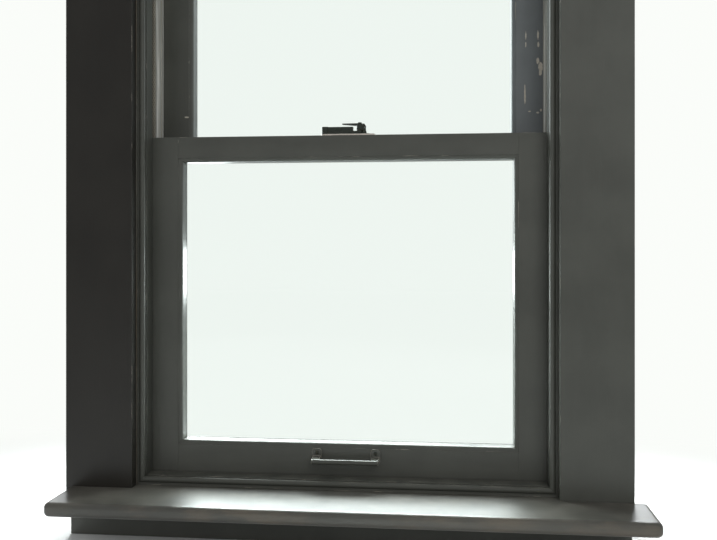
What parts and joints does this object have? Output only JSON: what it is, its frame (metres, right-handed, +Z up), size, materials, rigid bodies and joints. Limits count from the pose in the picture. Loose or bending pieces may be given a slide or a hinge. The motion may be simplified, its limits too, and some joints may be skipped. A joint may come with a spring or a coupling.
{
  "type": "sash window",
  "caption": "Vertical sliding timber sash window in its box frame, with cords, weights, fastener, lift and inner board.",
  "frame": {"origin": "middle of the sill's flat underside", "axes": "+Z up, +Y outdoors, -Y into the room, +X to the right as seen from the room"},
  "size_m": [0.747, 0.258, 1.0156],
  "materials": {
    "grey_paint": "satin",
    "board_paint": "satin",
    "worn_bead": "matte",
    "track_timber": "matte",
    "bare_timber": "matte",
    "glass": "gloss",
    "putty": "matte",
    "bronze": "satin",
    "pale_brass": "satin",
    "lift_paint": "satin",
    "steel": "satin",
    "iron": "matte",
    "wheel_brass": "satin",
    "cotton": "matte"
  },
  "bodies": {
    "frame": {"sill": "grey_paint", "head": "bare_timber", "window_board": "board_paint", "inner_lining_head": "grey_paint", "outer_lining_head": "grey_paint", "parting_bead_head": "worn_bead", "staff_bead_head": "grey_paint", "staff_bead_bottom": "grey_paint", "pulley_stile_left": "track_timber", "pulley_stile_right": "track_timber", "pocket_piece_left": "track_timber", "pocket_piece_right": "track_timber", "inner_lining_left": "grey_paint", "inner_lining_right": "grey_paint", "outer_lining_left": "grey_paint", "outer_lining_right": "grey_paint", "back_lining_left": "bare_timber", "back_lining_right": "bare_timber", "weight_divider_left": "bare_timber", "weight_divider_right": "bare_timber", "parting_bead_left": "worn_bead", "parting_bead_right": "worn_bead", "staff_bead_left": "grey_paint", "staff_bead_right": "grey_paint", "lower_pulley_case_left": "iron", "lower_pulley_case_right": "iron", "lower_sash_cord_left": "cotton", "lower_sash_cord_right": "cotton", "upper_pulley_case_left": "iron", "upper_pulley_case_right": "iron", "upper_sash_cord_left": "cotton", "upper_sash_cord_right": "cotton"},
    "lower_sash": {"lower_bottom_rail": "grey_paint", "lower_meeting_rail": "grey_paint", "lower_glass": "glass", "lower_putty": "putty", "sash_lift": "lift_paint", "fastener_plate": "pale_brass", "fastener_body": "bronze", "fastener_pin": "bronze", "fastener_screws": "steel", "lower_stile_left": "grey_paint", "lower_stile_right": "grey_paint"},
    "upper_sash": {"upper_top_rail": "grey_paint", "upper_meeting_rail": "grey_paint", "upper_glass": "glass", "upper_putty": "putty", "fastener_keeper": "bronze", "upper_stile_left": "grey_paint", "upper_stile_right": "grey_paint"},
    "fastener_lever": {"fastener_lever": "bronze"},
    "lower_weight_left": {"lower_weight_left": "iron"},
    "lower_pulley_wheel_left": {"lower_pulley_wheel_left": "wheel_brass"},
    "lower_weight_right": {"lower_weight_right": "iron"},
    "lower_pulley_wheel_right": {"lower_pulley_wheel_right": "wheel_brass"},
    "upper_weight_left": {"upper_weight_left": "iron"},
    "upper_pulley_wheel_left": {"upper_pulley_wheel_left": "wheel_brass"},
    "upper_weight_right": {"upper_weight_right": "iron"},
    "upper_pulley_wheel_right": {"upper_pulley_wheel_right": "wheel_brass"}
  },
  "joints": [
    {"name": "lower_sash_slide", "type": "slide", "parent": "frame", "child": "lower_sash", "axis": [0, 0, 1], "range_m": [0, 0.362], "deforming": ["lower_sash_cord_left", "lower_sash_cord_right"]},
    {"name": "upper_sash_slide", "type": "slide", "parent": "frame", "child": "upper_sash", "axis": [0, 0, -1], "range_m": [0, 0.362], "deforming": ["upper_sash_cord_left", "upper_sash_cord_right"]},
    {"name": "fastener_turn", "type": "hinge", "parent": "lower_sash", "child": "fastener_lever", "pos_m": [0.017, -0.023, 0.5323], "axis": [0, 0, -1], "range_deg": [0, 90]},
    {"name": "lower_weight_left_slide", "type": "slide", "parent": "frame", "child": "lower_weight_left", "axis": [0, 0, 1], "range_m": [-0.362, 0]},
    {"name": "lower_pulley_wheel_left_spin", "type": "hinge", "parent": "frame", "child": "lower_pulley_wheel_left", "pos_m": [-0.2915, -0.033, 0.8706], "axis": [0, 1, 0], "range_deg": [-930, 0]},
    {"name": "lower_weight_right_slide", "type": "slide", "parent": "frame", "child": "lower_weight_right", "axis": [0, 0, 1], "range_m": [-0.362, 0]},
    {"name": "lower_pulley_wheel_right_spin", "type": "hinge", "parent": "frame", "child": "lower_pulley_wheel_right", "pos_m": [0.2915, -0.033, 0.8706], "axis": [0, 1, 0], "range_deg": [0, 930]},
    {"name": "upper_weight_left_slide", "type": "slide", "parent": "frame", "child": "upper_weight_left", "axis": [0, 0, 1], "range_m": [0, 0.362]},
    {"name": "upper_pulley_wheel_left_spin", "type": "hinge", "parent": "frame", "child": "upper_pulley_wheel_left", "pos_m": [-0.2915, 0.015, 0.8706], "axis": [0, 1, 0], "range_deg": [0, 930]},
    {"name": "upper_weight_right_slide", "type": "slide", "parent": "frame", "child": "upper_weight_right", "axis": [0, 0, 1], "range_m": [0, 0.362]},
    {"name": "upper_pulley_wheel_right_spin", "type": "hinge", "parent": "frame", "child": "upper_pulley_wheel_right", "pos_m": [0.2915, 0.015, 0.8706], "axis": [0, 1, 0], "range_deg": [-930, 0]}
  ],
  "couplings": [
    {"joint": "lower_weight_left_slide", "follows": "lower_sash_slide", "ratio": -1},
    {"joint": "lower_pulley_wheel_left_spin", "follows": "lower_sash_slide", "rad_per_m": -44.444},
    {"joint": "lower_weight_right_slide", "follows": "lower_sash_slide", "ratio": -1},
    {"joint": "lower_pulley_wheel_right_spin", "follows": "lower_sash_slide", "rad_per_m": 44.444},
    {"joint": "upper_weight_left_slide", "follows": "upper_sash_slide", "ratio": 1},
    {"joint": "upper_pulley_wheel_left_spin", "follows": "upper_sash_slide", "rad_per_m": 44.444},
    {"joint": "upper_weight_right_slide", "follows": "upper_sash_slide", "ratio": 1},
    {"joint": "upper_pulley_wheel_right_spin", "follows": "upper_sash_slide", "rad_per_m": -44.444}
  ]
}
